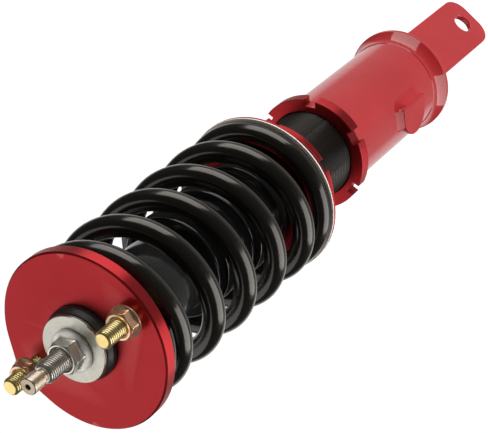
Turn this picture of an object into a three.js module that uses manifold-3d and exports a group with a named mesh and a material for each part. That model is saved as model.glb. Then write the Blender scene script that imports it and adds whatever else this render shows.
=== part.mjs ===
// Adjustable coilover strut for a car, with a blade lower mount and a two-stud top mount.
//
// Frame, in millimetres: +Z runs along the strut from the lower mount to the top mount.
// The origin is the centre of the bolt hole in the lower blade. The bolt lies along Y, and
// the blade's width along X. The strut is drawn at full extension.
//
// The pieces are first drawn round the strut's own axis, where X = 0 and Y = 0, with heights
// measured from a level 4 mm above the bolt hole. "place" then moves each one into the frame
// above. Every piece is turned about the strut axis unless its comment says otherwise.
// Pieces that touch on the real strut are drawn with FIT of air between them.

import * as THREE from "three";
import { mergeVertices } from "three/addons/utils/BufferGeometryUtils.js";
import Module from "manifold-3d";

const wasm = await Module();
wasm.setup();

// ---------------------------------------------------------------- driving dimensions

const FIT = 0.3; // air between touching pieces
const COARSE = 16; // sides of a small hidden round piece
const MEDIUM = 24; // sides of a middle-sized round piece
const FINE = 32; // sides of a large visible round piece

// Lower blade and its bolt hole
const BLADE_WIDTH = 38;
const BLADE_THICKNESS = 4;
const BLADE_MIDDLE = 2.4; // the blade's middle stands this far along X from the strut axis
const BLADE_BOTTOM = -20.2;
const BLADE_SHOULDER = 95; // above this the blade narrows to a thinner tang
const BLADE_TOP = 108;
const BLADE_CORNER_R = 12.5;
const BOLT_HOLE_HEIGHT = -4;
const BOLT_HOLE_R = 6.7;

// Bracket: a threaded tube with a flared foot, closed by a plate that holds the blade
const FOOT_BOTTOM = 97;
const FOOT_RIM_R = 34.9;
const FOOT_RIM_HEIGHT = 3.2;
const FOOT_TOP = 110.7;
const TUBE_R = 30.6;
const TUBE_BOTTOM = FOOT_TOP + FIT;
const TUBE_TOP = 213.3;
const END_PLATE_BOTTOM = 100;
const END_PLATE_THICKNESS = 5;

// Hose tab on the bracket tube: a flat plate welded on a tangent of the tube
const TAB_ANGLE = -138;
const TAB_HEIGHT = 144.5;
const TAB_R = 14.5;
const TAB_THICKNESS = 3;
const TAB_ROUND_MIDDLE = 1; // along the tangent, from the point where it meets the tube
const TAB_ROOT = 8; // the tab's straight end, along the same line

// Lock ring
const RING_R = 36;
const RING_BOTTOM = TUBE_TOP + FIT;
const RING_THICKNESS = 8;
const NOTCH_COUNT = 6;
const NOTCH_WIDTH = 8;
const NOTCH_DEPTH = 4.3;
const NOTCH_ANGLE = -112;

// Damper body: a threaded tube with a gland at the top and a cap at the bottom
const BODY_R = 27.6;
const BODY_BORE_R = 23;
const BODY_BOTTOM = 131;
const BODY_TOP = 309;
const THREAD_BORE_R = BODY_R + FIT;
const BORE_FIT = 0.3; // radial air of a piece that slides in the body's bore

// Spring perch and slip washer
const PERCH_BOTTOM = 262;
const PERCH_FOOT_R = 38.2;
const PERCH_RIM_R = 48.8;
const PERCH_SEAT = 281.4;
const HUB_R = 34.6;
const HUB_TOP = 301;
const WASHER_R = 48.8;
const WASHER_THICKNESS = 1;

// Coil spring
const SPRING_BOTTOM = PERCH_SEAT + FIT + WASHER_THICKNESS + FIT;
const SPRING_TOP = 451.5;
const WIRE_R = 6.25;
const SPRING_OUTER_R = 48;
const SPRING_PITCH = 32.3;
const END_PITCH = 4; // rise of the wire in one turn along the flat ends
const END_TURNS = 0.65; // turns of each flat end
const GROUND_DEPTH = 4.5; // how much of the wire is ground off at its very end
const SPRING_TOP_ANGLE = -125;

// Top mount
const PLATE_BOTTOM = SPRING_TOP + FIT;
const PLATE_THICKNESS = 8.4;
const PLATE_TOP = PLATE_BOTTOM + PLATE_THICKNESS;
const PLATE_R = 50.5;
const PLATE_STRETCH = 1.5; // the plate is this much longer towards PLATE_STRETCH_ANGLE
const PLATE_STRETCH_ANGLE = 120;
const PLATE_CHAMFER = 1;
const PLATE_HOLE_R = 14.3;
const STUD_CIRCLE_R = 38.5;
const STUD_ANGLE = -105; // the front stud; the rear one is opposite
const STUD_R = 5;
const STUD_TIP = 485;
const STUD_HEAD_R = 7.5;
const STUD_HEAD_HEIGHT = 3;
const LOBE_R = 16; // the plate's rounded ear round the rear stud
const STUD_NUT_FLATS = 14.8;
const STUD_NUT_FLANGE_R = 9.1;
const STUD_NUT_HEIGHT = 7.2;
const FRONT_NUT_BOTTOM = 464; // both nuts are wound part of the way down their studs
const REAR_NUT_BOTTOM = 468.2;
const BUSH_R = 21;
const BUSH_SEAT_DEPTH = 0.3; // the upper bush stands in a shallow round seat in the plate
const BUSH_SPIGOT_R = 13.9;
const BUSH_BORE_R = 8.9;
const UPPER_BUSH_HEIGHT = 6;
const LOWER_BUSH_HEIGHT = 8.5;
const CLAMP_WASHER_R = 19.2;
const CLAMP_WASHER_THICKNESS = 2.5;
const SPACER_R = 8.6;
const TOP_NUT_FLATS = 16.8;
const TOP_NUT_FLANGE_R = 12.2;
const TOP_NUT_HEIGHT = 10.1;

// Piston rod and damping adjuster
const ROD_R = 7;
const ROD_THREAD_R = 6;
const ROD_TOP = 495;
const ROD_SHOULDER = 440;
const TENON_R = 4.5;
const TENON_TOP = 289.5;
const TENON_BOTTOM = 257;
const ROD_BORE_R = 2.5;
const CONTROL_ROD_R = 2.1;
const ADJUSTER_R = 4.8;
const ADJUSTER_TOP = 506.8;
const ADJUSTER_SOCKET_R = 1.4;

// Bump stop and dust boot
const BUMP_STOP_BOTTOM = 379.5;
const BUMP_STOP_R = 17;
const BOOT_BOTTOM = 302.5;
const BOOT_SLEEVE_R = 24;
const BOOT_SLEEVE_BOTTOM = 381;
const PLEAT_R = 31;
const PLEAT_VALLEY_R = 27;
const PLEAT_COUNT = 8;
const BOOT_BORE_R = 22;

const degrees = (angle) => (angle * Math.PI) / 180;

// ---------------------------------------------------------------- solids

// A closed three.js geometry as a manifold solid.
function toSolid(geometry) {
  const bare = geometry.clone();
  bare.deleteAttribute("normal");
  bare.deleteAttribute("uv");
  const merged = mergeVertices(bare, 1e-4);
  return new wasm.Manifold(
    new wasm.Mesh({
      numProp: 3,
      vertProperties: merged.attributes.position.array,
      triVerts: new Uint32Array(merged.index.array),
    }),
  );
}

// A manifold solid back as a three.js geometry.
function toGeometry(solid) {
  const mesh = solid.getMesh();
  const geometry = new THREE.BufferGeometry();
  geometry.setAttribute("position", new THREE.BufferAttribute(mesh.vertProperties, 3));
  geometry.setIndex(new THREE.BufferAttribute(mesh.triVerts, 1));
  geometry.computeVertexNormals();
  return geometry;
}

// A solid turned about Z from an outline of [radius, height] points, counter-clockwise.
function turned(outline, sides) {
  const points = outline.map(([radius, height]) => new THREE.Vector2(radius, height));
  const onAxis = outline[0][0] === 0;
  if (!onAxis) points.push(points[0].clone());
  return toSolid(new THREE.LatheGeometry(points, sides).rotateX(Math.PI / 2));
}

// A plain ring, or with innerR 0 a plain disc.
function ring(innerR, outerR, bottom, top, sides) {
  const outline = [
    [innerR, bottom],
    [outerR, bottom],
    [outerR, top],
    [innerR, top],
  ];
  return turned(outline, sides);
}

// A ring whose two outer edges are chamfered.
function chamferedRing(innerR, outerR, bottom, top, chamfer, sides) {
  const outline = [
    [innerR, bottom],
    [outerR - chamfer, bottom],
    [outerR, bottom + chamfer],
    [outerR, top - chamfer],
    [outerR - chamfer, top],
    [innerR, top],
  ];
  return turned(outline, sides);
}

function box(width, depth, height, x, y, z) {
  return toSolid(new THREE.BoxGeometry(width, depth, height).translate(x, y, z));
}

function hexPrism(acrossFlats, bottom, top) {
  const height = top - bottom;
  const prism = new THREE.CylinderGeometry(
    acrossFlats / Math.sqrt(3),
    acrossFlats / Math.sqrt(3),
    height,
    6,
  );
  return toSolid(prism.rotateX(Math.PI / 2).translate(0, 0, bottom + height / 2));
}

function moved(solid, x, y, z) {
  return solid.translate([x, y, z]);
}

function turnedBy(solid, angle) {
  return solid.rotate([0, 0, angle]);
}

// Cuts NOTCH_COUNT spanner notches into a ring's outside.
function notched(solid, outerR, bottom, top, width, depth) {
  let result = solid;
  for (let index = 0; index < NOTCH_COUNT; index += 1) {
    const cutter = box(
      2 * depth,
      width,
      top - bottom,
      outerR,
      0,
      (top + bottom) / 2,
    );
    result = result.subtract(turnedBy(cutter, NOTCH_ANGLE + (index * 360) / NOTCH_COUNT));
  }
  return result;
}

// A hexagon nut with a sloping round flange, standing on height 0.
function flangeNut(acrossFlats, flangeR, flangeHeight, height, boreR) {
  const corner = acrossFlats / Math.sqrt(3);
  const topFlatR = acrossFlats / 2;
  const envelope = turned(
    [
      [0, 0],
      [corner + 1, 0],
      [corner + 1, height - 1.4],
      [topFlatR, height],
      [0, height],
    ],
    MEDIUM,
  );
  const flange = turned(
    [
      [0, 0],
      [flangeR, 0],
      [flangeR, 0.45 * flangeHeight],
      [topFlatR, flangeHeight],
      [0, flangeHeight],
    ],
    MEDIUM,
  );
  const bore = turned(
    [
      [0, -1],
      [boreR, -1],
      [boreR, height - 0.8],
      [boreR + 0.8, height],
      [boreR + 0.8, height + 1],
      [0, height + 1],
    ],
    COARSE,
  );
  return hexPrism(acrossFlats, 0.2, height).intersect(envelope).add(flange).subtract(bore);
}

// ---------------------------------------------------------------- lower bracket

// The blade is a plate in the XZ plane with its lower corners rounded, and a tang on top.
function lowerBlade() {
  const left = BLADE_MIDDLE - BLADE_WIDTH / 2;
  const right = BLADE_MIDDLE + BLADE_WIDTH / 2;
  const corner = BLADE_CORNER_R;
  const cornerHeight = BLADE_BOTTOM + corner;
  const outline = new THREE.Shape();
  outline.moveTo(right, BLADE_SHOULDER);
  outline.lineTo(left, BLADE_SHOULDER);
  outline.lineTo(left, cornerHeight);
  outline.absarc(left + corner, cornerHeight, corner, Math.PI, 1.5 * Math.PI);
  outline.absarc(right - corner, cornerHeight, corner, 1.5 * Math.PI, 2 * Math.PI);
  outline.closePath();
  const hole = new THREE.Path();
  hole.absarc(BLADE_MIDDLE, BOLT_HOLE_HEIGHT, BOLT_HOLE_R, 0, 2 * Math.PI, true);
  outline.holes.push(hole);
  const plate = new THREE.ExtrudeGeometry(outline, {
    depth: BLADE_THICKNESS,
    bevelEnabled: false,
    curveSegments: 10,
  });
  plate.rotateX(Math.PI / 2).translate(0, BLADE_THICKNESS / 2, 0);
  const tangHeight = BLADE_TOP - BLADE_SHOULDER + 1;
  const tang = box(
    BLADE_WIDTH,
    BLADE_THICKNESS - 2 * FIT,
    tangHeight,
    BLADE_MIDDLE,
    0,
    BLADE_TOP - tangHeight / 2,
  );
  return toSolid(plate).add(tang);
}

// The foot flares from the tube's radius to a thin rim, in a hollow curve.
function bracketFoot() {
  const rimTop = FOOT_BOTTOM + FOOT_RIM_HEIGHT;
  const neckR = TUBE_R + 0.4;
  const steps = 5;
  const outline = [
    [THREAD_BORE_R + 0.6, FOOT_BOTTOM],
    [FOOT_RIM_R - 0.5, FOOT_BOTTOM],
    [FOOT_RIM_R, FOOT_BOTTOM + 0.5],
    [FOOT_RIM_R, rimTop],
  ];
  for (let step = 1; step <= steps; step += 1) {
    const along = step / steps;
    const swell = (1 - along) * (1 - along);
    outline.push([
      neckR + (FOOT_RIM_R - neckR) * swell,
      rimTop + (FOOT_TOP - rimTop) * along,
    ]);
  }
  outline.push([THREAD_BORE_R + 0.6, FOOT_TOP]);
  return turned(outline, FINE);
}

function bracketEndPlate() {
  const middle = END_PLATE_BOTTOM + END_PLATE_THICKNESS / 2;
  const disc = ring(
    0,
    THREAD_BORE_R + 0.3,
    END_PLATE_BOTTOM,
    END_PLATE_BOTTOM + END_PLATE_THICKNESS,
    FINE,
  );
  const slot = box(
    BLADE_WIDTH + 2 * FIT,
    BLADE_THICKNESS,
    2 * END_PLATE_THICKNESS,
    BLADE_MIDDLE,
    0,
    middle,
  );
  return disc.subtract(slot);
}

// A plate that lies on a tangent of the tube, with one round end past the tube's side.
function hoseTab() {
  const outline = new THREE.Shape();
  outline.moveTo(TAB_ROOT, -TAB_R);
  outline.lineTo(TAB_ROOT, TAB_R);
  outline.lineTo(TAB_ROUND_MIDDLE, TAB_R);
  outline.absarc(TAB_ROUND_MIDDLE, 0, TAB_R, 0.5 * Math.PI, 1.5 * Math.PI);
  outline.closePath();
  const plate = new THREE.ExtrudeGeometry(outline, {
    depth: TAB_THICKNESS,
    bevelEnabled: false,
    curveSegments: 12,
  });
  // The plate's own X runs along the tangent, anticlockwise seen from above, and Y runs up.
  plate.rotateX(Math.PI / 2);
  plate.translate(0, -(TUBE_R + FIT), TAB_HEIGHT);
  plate.rotateZ(degrees(TAB_ANGLE + 90));
  return toSolid(plate);
}

// ---------------------------------------------------------------- damper body

function sealHead() {
  const top = BODY_TOP - 0.5;
  const bottom = 293;
  const pocketFloor = 302;
  const outline = [
    [9.8, bottom],
    [BODY_BORE_R - BORE_FIT, bottom],
    [BODY_BORE_R - BORE_FIT, top],
    [11.8, top],
    [11.8, pocketFloor],
    [9.8, pocketFloor],
  ];
  return turned(outline, MEDIUM);
}

function piston() {
  const outline = [
    [TENON_R + FIT, 271],
    [22.6, 271],
    [22.6, 274],
    [21, 274],
    [21, 283],
    [22.6, 283],
    [22.6, 285.7],
    [TENON_R + FIT, 285.7],
  ];
  let disc = turned(outline, MEDIUM);
  const portCount = 6;
  for (let index = 0; index < portCount; index += 1) {
    const port = moved(ring(0, 1.8, 270, 287, 10), 17.5, 0, 0);
    disc = disc.subtract(turnedBy(port, (index * 360) / portCount));
  }
  return disc;
}

function floatingPiston() {
  const outline = [
    [0, 158],
    [22.6, 158],
    [22.6, 162],
    [20.5, 162],
    [20.5, 166],
    [22.6, 166],
    [22.6, 170],
    [16, 170],
    [16, 164.5],
    [0, 164.5],
  ];
  return turned(outline, MEDIUM);
}

// Thin shims stacked against the piston, smaller the further they are from it.
function shimStack(faceHeight, direction) {
  const steps = [
    [15, 0],
    [15, 1.2],
    [12, 1.2],
    [12, 2.2],
    [9, 2.2],
    [9, 3.2],
  ];
  const outline = [];
  outline.push([TENON_R + FIT, faceHeight]);
  for (const [radius, away] of steps) outline.push([radius, faceHeight + direction * away]);
  outline.push([TENON_R + FIT, faceHeight + direction * 3.2]);
  if (direction < 0) outline.reverse();
  return turned(outline, COARSE);
}

function endCap() {
  return chamferedRing(3.6, BODY_BORE_R - BORE_FIT, BODY_BOTTOM + 0.3, 139.5, 0.8, MEDIUM);
}

// ---------------------------------------------------------------- rod and adjuster

function pistonRod() {
  const outline = [
    [ROD_BORE_R, TENON_BOTTOM],
    [TENON_R, TENON_BOTTOM],
    [TENON_R, TENON_TOP],
    [ROD_R, TENON_TOP],
    [ROD_R, ROD_SHOULDER - 1],
    [ROD_R - 0.8, ROD_SHOULDER],
    [ROD_THREAD_R, ROD_SHOULDER],
    [ROD_THREAD_R, ROD_TOP - 1.2],
    [ROD_THREAD_R - 1.2, ROD_TOP],
    [ROD_BORE_R, ROD_TOP],
  ];
  return turned(outline, MEDIUM);
}

// The knurled tip that a hexagon key turns from above the top nut.
function damperAdjuster() {
  const bottom = ROD_TOP + FIT;
  const socketFloor = ADJUSTER_TOP - 5;
  const outline = [
    [0, bottom],
    [3.6, bottom],
    [3.6, bottom + 2],
    [ADJUSTER_R, bottom + 2.6],
    [ADJUSTER_R, ADJUSTER_TOP - 1],
    [ADJUSTER_R - 1, ADJUSTER_TOP],
    [ADJUSTER_SOCKET_R, ADJUSTER_TOP],
    [ADJUSTER_SOCKET_R, socketFloor],
    [0, socketFloor],
  ];
  return turned(outline, COARSE);
}

// ---------------------------------------------------------------- perch and lock ring

function lockRing() {
  const top = RING_BOTTOM + RING_THICKNESS;
  const blank = chamferedRing(THREAD_BORE_R, RING_R, RING_BOTTOM, top, 0.5, FINE);
  return notched(blank, RING_R, RING_BOTTOM - 1, top + 1, NOTCH_WIDTH, NOTCH_DEPTH);
}

function springPerch() {
  const outline = [
    [THREAD_BORE_R, PERCH_BOTTOM],
    [PERCH_FOOT_R - 0.6, PERCH_BOTTOM],
    [PERCH_FOOT_R, PERCH_BOTTOM + 0.6],
    [PERCH_FOOT_R, PERCH_BOTTOM + 4.5],
    [PERCH_RIM_R - 0.3, PERCH_SEAT - 1.6],
    [PERCH_RIM_R, PERCH_SEAT - 1.2],
    [PERCH_RIM_R, PERCH_SEAT - 0.3],
    [PERCH_RIM_R - 0.3, PERCH_SEAT],
    [HUB_R, PERCH_SEAT],
    [HUB_R, HUB_TOP - 3],
    [HUB_R - 1.6, HUB_TOP],
    [THREAD_BORE_R, HUB_TOP],
  ];
  const blank = turned(outline, FINE);
  return notched(blank, PERCH_FOOT_R, PERCH_BOTTOM - 1, PERCH_BOTTOM + 5, 7, 3.6);
}

function slipWasher() {
  const bottom = PERCH_SEAT + FIT;
  return ring(HUB_R + 0.4, WASHER_R, bottom, bottom + WASHER_THICKNESS, FINE);
}

// ---------------------------------------------------------------- spring

// The middle line of the wire: flat ends, and an even pitch between them.
class SpringLine extends THREE.Curve {
  constructor() {
    super();
    const wireTravel = SPRING_TOP - SPRING_BOTTOM - 2 * (WIRE_R - GROUND_DEPTH);
    const flatRise = 2 * END_PITCH * END_TURNS;
    this.turns = 2 * END_TURNS + (wireTravel - flatRise) / SPRING_PITCH;
    this.start = SPRING_BOTTOM + WIRE_R - GROUND_DEPTH;
  }

  // Height of the wire after a number of turns, with rounded corners between the pitches.
  heightAfter(turn) {
    const softness = 0.12;
    const bend = (x) => softness * Math.log(1 + Math.exp(x / softness));
    const extra = SPRING_PITCH - END_PITCH;
    const climb = bend(turn - END_TURNS) - bend(turn - (this.turns - END_TURNS));
    return this.start + END_PITCH * turn + extra * climb;
  }

  getPoint(t, target = new THREE.Vector3()) {
    const turn = t * this.turns;
    const angle = degrees(SPRING_TOP_ANGLE + 360 * (turn - this.turns));
    const radius = SPRING_OUTER_R - WIRE_R;
    return target.set(radius * Math.cos(angle), radius * Math.sin(angle), this.heightAfter(turn));
  }
}

function coilSpring() {
  const line = new SpringLine();
  const section = new THREE.Shape().absarc(0, 0, WIRE_R, 0, 2 * Math.PI);
  const wire = new THREE.ExtrudeGeometry(section, {
    steps: Math.round(line.turns * 20),
    curveSegments: 5,
    bevelEnabled: false,
    extrudePath: line,
  });
  const height = SPRING_TOP - SPRING_BOTTOM;
  const slab = box(120, 120, height, 0, 0, SPRING_BOTTOM + height / 2);
  return toSolid(wire).intersect(slab);
}

// ---------------------------------------------------------------- boot and bump stop

// A rubber boot: a plain sleeve above, pleats below, and a lip round the damper body.
function dustBoot() {
  const lipR = BODY_R + FIT;
  const lipTop = BODY_TOP + 0.6;
  const pleatBottom = BOOT_BOTTOM + 8;
  const pleatHeight = (BOOT_SLEEVE_BOTTOM - pleatBottom) / PLEAT_COUNT;
  const outline = [
    [lipR, BOOT_BOTTOM],
    [lipR + 2, BOOT_BOTTOM],
    [lipR + 2, pleatBottom - 2],
    [PLEAT_VALLEY_R, pleatBottom],
  ];
  for (let pleat = 0; pleat < PLEAT_COUNT; pleat += 1) {
    const bottom = pleatBottom + pleat * pleatHeight;
    const isLast = pleat === PLEAT_COUNT - 1;
    outline.push([PLEAT_R, bottom + 0.5 * pleatHeight]);
    outline.push([isLast ? BOOT_SLEEVE_R : PLEAT_VALLEY_R, bottom + pleatHeight]);
  }
  outline.push([BOOT_SLEEVE_R, SPRING_TOP]);
  outline.push([BOOT_BORE_R, SPRING_TOP]);
  outline.push([BOOT_BORE_R, BOOT_SLEEVE_BOTTOM]);
  outline.push([PLEAT_VALLEY_R - 2, BOOT_SLEEVE_BOTTOM - 4]);
  outline.push([PLEAT_VALLEY_R - 2, lipTop]);
  outline.push([lipR, lipTop]);
  return turned(outline, MEDIUM);
}

// A foam cone with two waists.
function bumpStop() {
  const bottom = BUMP_STOP_BOTTOM;
  const top = ROD_SHOULDER - 0.5;
  const height = top - bottom;
  const outline = [
    [ROD_R + FIT, bottom],
    [10.5, bottom],
    [13, bottom + 0.12 * height],
    [13, bottom + 0.24 * height],
    [11.5, bottom + 0.3 * height],
    [15, bottom + 0.4 * height],
    [15, bottom + 0.56 * height],
    [13, bottom + 0.63 * height],
    [BUMP_STOP_R, bottom + 0.74 * height],
    [BUMP_STOP_R, top],
    [ROD_R + FIT, top],
  ];
  return turned(outline, COARSE);
}

// ---------------------------------------------------------------- top mount

// A nearly round plate with an ear round the rear stud and chamfered outer edges.
function topPlate() {
  const rearAngle = STUD_ANGLE + 180;
  const disc = chamferedRing(
    0,
    PLATE_R,
    PLATE_BOTTOM,
    PLATE_TOP,
    PLATE_CHAMFER,
    2 * FINE,
  );
  const stretched = turnedBy(moved(disc, PLATE_STRETCH, 0, 0), PLATE_STRETCH_ANGLE);
  const ear = chamferedRing(0, LOBE_R, PLATE_BOTTOM, PLATE_TOP, PLATE_CHAMFER, FINE);
  const lobe = turnedBy(moved(ear, STUD_CIRCLE_R, 0, 0), rearAngle);
  let plate = wasm.Manifold.hull([disc, stretched, lobe]);
  plate = plate.subtract(ring(0, PLATE_HOLE_R, PLATE_BOTTOM - 1, PLATE_TOP + 1, MEDIUM));
  const seatFloor = PLATE_TOP - BUSH_SEAT_DEPTH;
  plate = plate.subtract(ring(0, BUSH_R + FIT, seatFloor, PLATE_TOP + 1, FINE));
  for (const angle of [STUD_ANGLE, rearAngle]) {
    const shankHole = ring(0, STUD_R + FIT, PLATE_BOTTOM - 1, PLATE_TOP + 1, COARSE);
    const headPocket = ring(
      0,
      STUD_HEAD_R + FIT,
      PLATE_BOTTOM - 1,
      PLATE_BOTTOM + STUD_HEAD_HEIGHT + 2 * FIT,
      COARSE,
    );
    const cutter = shankHole.add(headPocket);
    plate = plate.subtract(turnedBy(moved(cutter, STUD_CIRCLE_R, 0, 0), angle));
  }
  return plate;
}

// A pressed-in stud with a flat head under the plate.
function mountStud(angle) {
  const headBottom = PLATE_BOTTOM + FIT;
  const headTop = headBottom + STUD_HEAD_HEIGHT;
  const outline = [
    [0, headBottom],
    [STUD_HEAD_R, headBottom],
    [STUD_HEAD_R, headTop],
    [STUD_R, headTop],
    [STUD_R, STUD_TIP - 1],
    [STUD_R - 1, STUD_TIP],
    [0, STUD_TIP],
  ];
  const stud = turned(outline, COARSE);
  return turnedBy(moved(stud, STUD_CIRCLE_R, 0, 0), angle);
}

function studNut(angle, bottom, twist) {
  const nut = flangeNut(
    STUD_NUT_FLATS,
    STUD_NUT_FLANGE_R,
    2.2,
    STUD_NUT_HEIGHT,
    STUD_R + FIT,
  );
  return turnedBy(moved(turnedBy(nut, twist), STUD_CIRCLE_R, 0, bottom), angle);
}

function topNut() {
  const bottom = PLATE_TOP + UPPER_BUSH_HEIGHT + FIT + CLAMP_WASHER_THICKNESS + FIT;
  const nut = flangeNut(
    TOP_NUT_FLATS,
    TOP_NUT_FLANGE_R,
    3.4,
    TOP_NUT_HEIGHT,
    ROD_THREAD_R + FIT,
  );
  return moved(turnedBy(nut, -18.8), 0, 0, bottom);
}

function clampWasher() {
  const bottom = PLATE_TOP + UPPER_BUSH_HEIGHT + FIT;
  return chamferedRing(
    ROD_THREAD_R + FIT,
    CLAMP_WASHER_R,
    bottom,
    bottom + CLAMP_WASHER_THICKNESS,
    0.4,
    FINE,
  );
}

// The two bushes meet inside the plate's hole, each with a spigot.
function upperBush() {
  const bottom = PLATE_TOP;
  const top = bottom + UPPER_BUSH_HEIGHT;
  const middle = PLATE_BOTTOM + PLATE_THICKNESS / 2 + FIT / 2;
  const outline = [
    [BUSH_BORE_R, middle],
    [BUSH_SPIGOT_R, middle],
    [BUSH_SPIGOT_R, bottom],
    [BUSH_R, bottom],
    [BUSH_R, bottom + 0.5 * UPPER_BUSH_HEIGHT],
    [BUSH_R - 1.6, top],
    [BUSH_BORE_R, top],
  ];
  return turned(outline, FINE);
}

function lowerBush() {
  const top = PLATE_BOTTOM - FIT;
  const bottom = top - LOWER_BUSH_HEIGHT;
  const middle = PLATE_BOTTOM + PLATE_THICKNESS / 2 - FIT / 2;
  const outline = [
    [BUSH_BORE_R, bottom],
    [BUSH_R - 2, bottom],
    [BUSH_R - 1, bottom + 1.5],
    [BUSH_R - 1, top],
    [BUSH_SPIGOT_R, top],
    [BUSH_SPIGOT_R, middle],
    [BUSH_BORE_R, middle],
  ];
  return turned(outline, MEDIUM);
}

function lowerClampWasher() {
  const top = PLATE_BOTTOM - FIT - LOWER_BUSH_HEIGHT - FIT;
  return ring(ROD_THREAD_R + FIT, CLAMP_WASHER_R, ROD_SHOULDER + FIT, top, MEDIUM);
}

function bushSpacer() {
  const bottom = PLATE_BOTTOM - FIT - LOWER_BUSH_HEIGHT;
  const top = PLATE_TOP + UPPER_BUSH_HEIGHT;
  return ring(ROD_THREAD_R + FIT, SPACER_R, bottom, top, COARSE);
}

// ---------------------------------------------------------------- materials

const paint = (color, roughness, metalness) =>
  new THREE.MeshStandardMaterial({ color, roughness, metalness });

const RED_PAINT = paint(0xb73a3e, 0.35, 0.2);
const RED_ANODISED = paint(0xa82c30, 0.4, 0.6);
const BLACK_COAT = paint(0x151515, 0.25, 0.1);
const BLACK_THREAD = paint(0x2a2a2a, 0.45, 0.6);
const BLACK_RUBBER = paint(0x1a1a1a, 0.7, 0.0);
const BRIGHT_ZINC = paint(0xc9c9c4, 0.35, 0.9);
const YELLOW_ZINC = paint(0xc9b070, 0.35, 0.9);
const ROD_STEEL = paint(0x9a9894, 0.25, 0.95);
const BARE_ALUMINIUM = paint(0xb8b8ba, 0.4, 0.9);
const WHITE_NYLON = paint(0xf0e8dc, 0.5, 0.0);
const YELLOW_FOAM = paint(0xd8c070, 0.9, 0.0);
const BRONZE = paint(0xa88b52, 0.4, 0.8);

// ---------------------------------------------------------------- assembly

const coilover = new THREE.Group();

// Adds a piece, moved so that the bolt hole's centre is the origin.
function place(name, solid, material) {
  const geometry = toGeometry(solid).translate(-BLADE_MIDDLE, 0, -BOLT_HOLE_HEIGHT);
  const mesh = new THREE.Mesh(geometry, material);
  mesh.name = name;
  coilover.add(mesh);
}

// Lower bracket
place("lower_blade", lowerBlade(), RED_PAINT);
place("bracket_foot", bracketFoot(), RED_PAINT);
place("bracket_end_plate", bracketEndPlate(), RED_PAINT);
place("bracket_tube", ring(THREAD_BORE_R, TUBE_R, TUBE_BOTTOM, TUBE_TOP, FINE), RED_PAINT);
place("hose_tab", hoseTab(), RED_PAINT);
place("lock_ring", lockRing(), RED_ANODISED);

// Damper body and what is fixed in it
place("damper_body", ring(BODY_BORE_R, BODY_R, BODY_BOTTOM, BODY_TOP, FINE), BLACK_THREAD);
place("seal_head", sealHead(), BARE_ALUMINIUM);
place("rod_guide_bush", ring(ROD_R + FIT, 9.5, 293.3, 301.7, COARSE), BRONZE);
place("rod_seal", ring(ROD_R + FIT, 11.5, 302.3, 305.2, COARSE), BLACK_RUBBER);
place("rod_wiper", ring(ROD_R + FIT, 11.5, 305.5, 308.3, COARSE), BLACK_RUBBER);
place("body_end_cap", endCap(), BARE_ALUMINIUM);
place("gas_valve_screw", ring(0, 3.3, 131.8, 138.5, COARSE), BRIGHT_ZINC);
place("floating_piston", floatingPiston(), BARE_ALUMINIUM);
place("floating_piston_seal", ring(20.8, 22.75, 162.3, 165.7, MEDIUM), BLACK_RUBBER);

// Spring perch
place("slip_washer", slipWasher(), WHITE_NYLON);
place("spring_perch", springPerch(), RED_ANODISED);
place("coil_spring", coilSpring(), BLACK_COAT);

// Piston rod and what is fixed on it
place("piston_rod", pistonRod(), ROD_STEEL);
place("compression_shims", shimStack(286, 1), ROD_STEEL);
place("piston", piston(), BARE_ALUMINIUM);
place("piston_band", ring(21.3, 22.75, 274.3, 282.7, MEDIUM), BRONZE);
place("rebound_shims", shimStack(270.7, -1), ROD_STEEL);
place("piston_nut", hexPrism(15, 259.5, 267.2).subtract(
  ring(0, TENON_R + FIT, 258, 268, COARSE),
), BRIGHT_ZINC);
place("bump_stop", bumpStop(), YELLOW_FOAM);
place("dust_boot", dustBoot(), BLACK_RUBBER);

// Damping adjuster
place("damping_adjuster", damperAdjuster(), BRIGHT_ZINC);
place("control_rod", ring(0, CONTROL_ROD_R, 262, ROD_TOP, COARSE), ROD_STEEL);

// Top mount
place("lower_clamp_washer", lowerClampWasher(), BRIGHT_ZINC);
place("lower_bush", lowerBush(), BLACK_RUBBER);
place("bush_spacer", bushSpacer(), ROD_STEEL);
place("top_plate", topPlate(), RED_ANODISED);
place("upper_bush", upperBush(), BLACK_RUBBER);
place("clamp_washer", clampWasher(), BRIGHT_ZINC);
place("top_nut", topNut(), BRIGHT_ZINC);
place("mount_stud_front", mountStud(STUD_ANGLE), YELLOW_ZINC);
place("mount_stud_rear", mountStud(STUD_ANGLE + 180), YELLOW_ZINC);
place("stud_nut_front", studNut(STUD_ANGLE, FRONT_NUT_BOTTOM, 1.6), YELLOW_ZINC);
place("stud_nut_rear", studNut(STUD_ANGLE + 180, REAR_NUT_BOTTOM, 25), YELLOW_ZINC);

export default coilover;
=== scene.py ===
"""Looks of a car coilover strut: its visible pieces, their materials, a floor, lights and a camera.

Sizes are in millimetres in the strut's own frame: its axis is X = Y = 0, and Z is up. OFFSET moves
that frame into the part's frame, whose origin is the bolt hole's centre, and MM turns it into metres.
"""
import math

import bpy
import numpy as np
from mathutils import Matrix, Vector


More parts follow.
